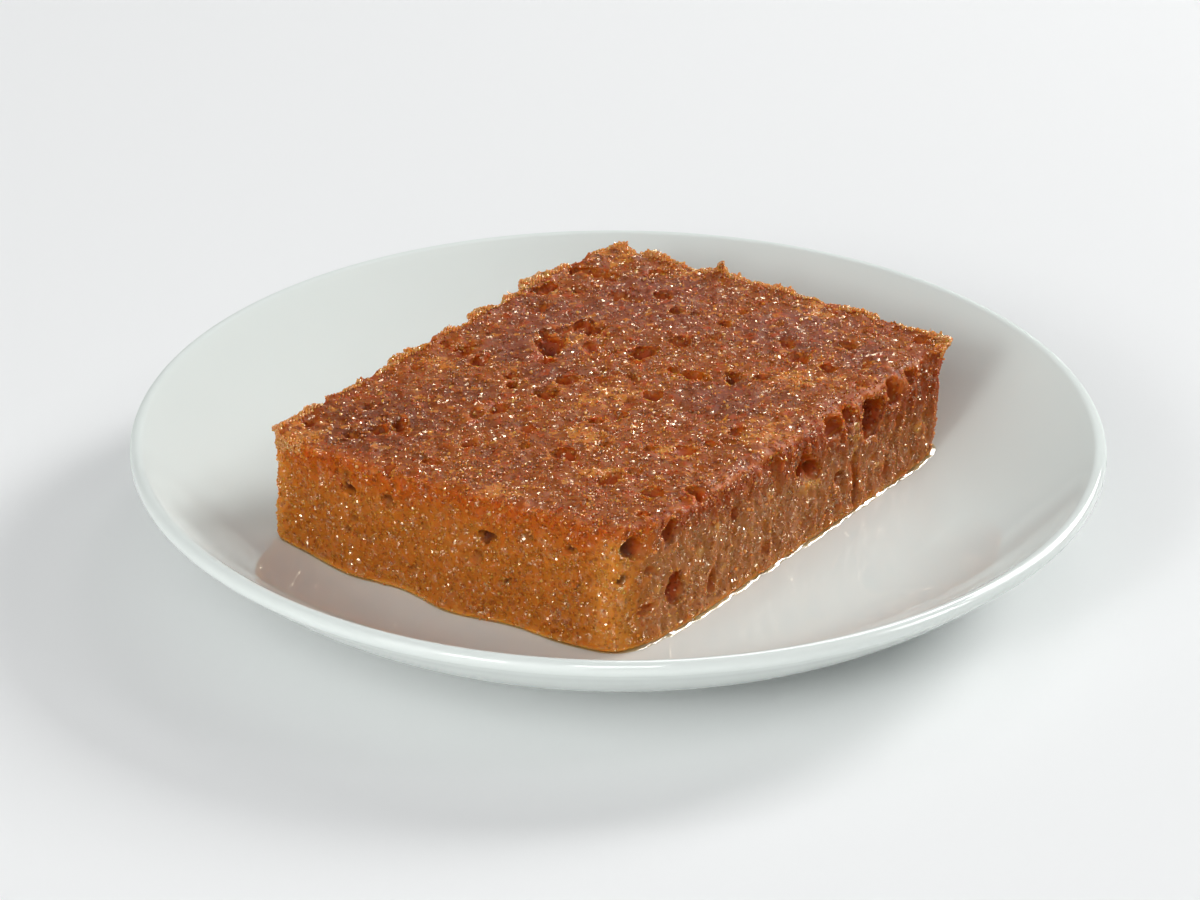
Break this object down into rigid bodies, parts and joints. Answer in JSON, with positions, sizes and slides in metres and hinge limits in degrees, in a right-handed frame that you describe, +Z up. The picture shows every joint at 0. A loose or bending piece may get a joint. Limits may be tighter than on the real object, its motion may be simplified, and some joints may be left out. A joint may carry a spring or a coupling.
{
  "type": "ekmek kadayif",
  "caption": "Thick cut slice of syrup-soaked bread sweet, browned and pitted on top, lying on a round white coupe plate with a thin line of syrup round its foot.",
  "frame": {"origin": "centre of the plate's foot ring, on the surface that the plate stands on", "axes": "+Z up, +Y away from the side with the slice's near corner, +X to the right seen from that side"},
  "size_m": [0.19, 0.19, 0.0319],
  "materials": {
    "glazed_porcelain": "smooth white glaze with a soft gloss",
    "soaked_crumb": "open bread crumb soaked in syrup: amber sides, reddish brown top, wet and glittering",
    "clear_syrup": "thin clear amber syrup, very glossy"
  },
  "bodies": {
    "root": {"plate": "glazed_porcelain", "kadayif_slice": "soaked_crumb", "syrup_line": "clear_syrup"}
  },
  "joints": []
}
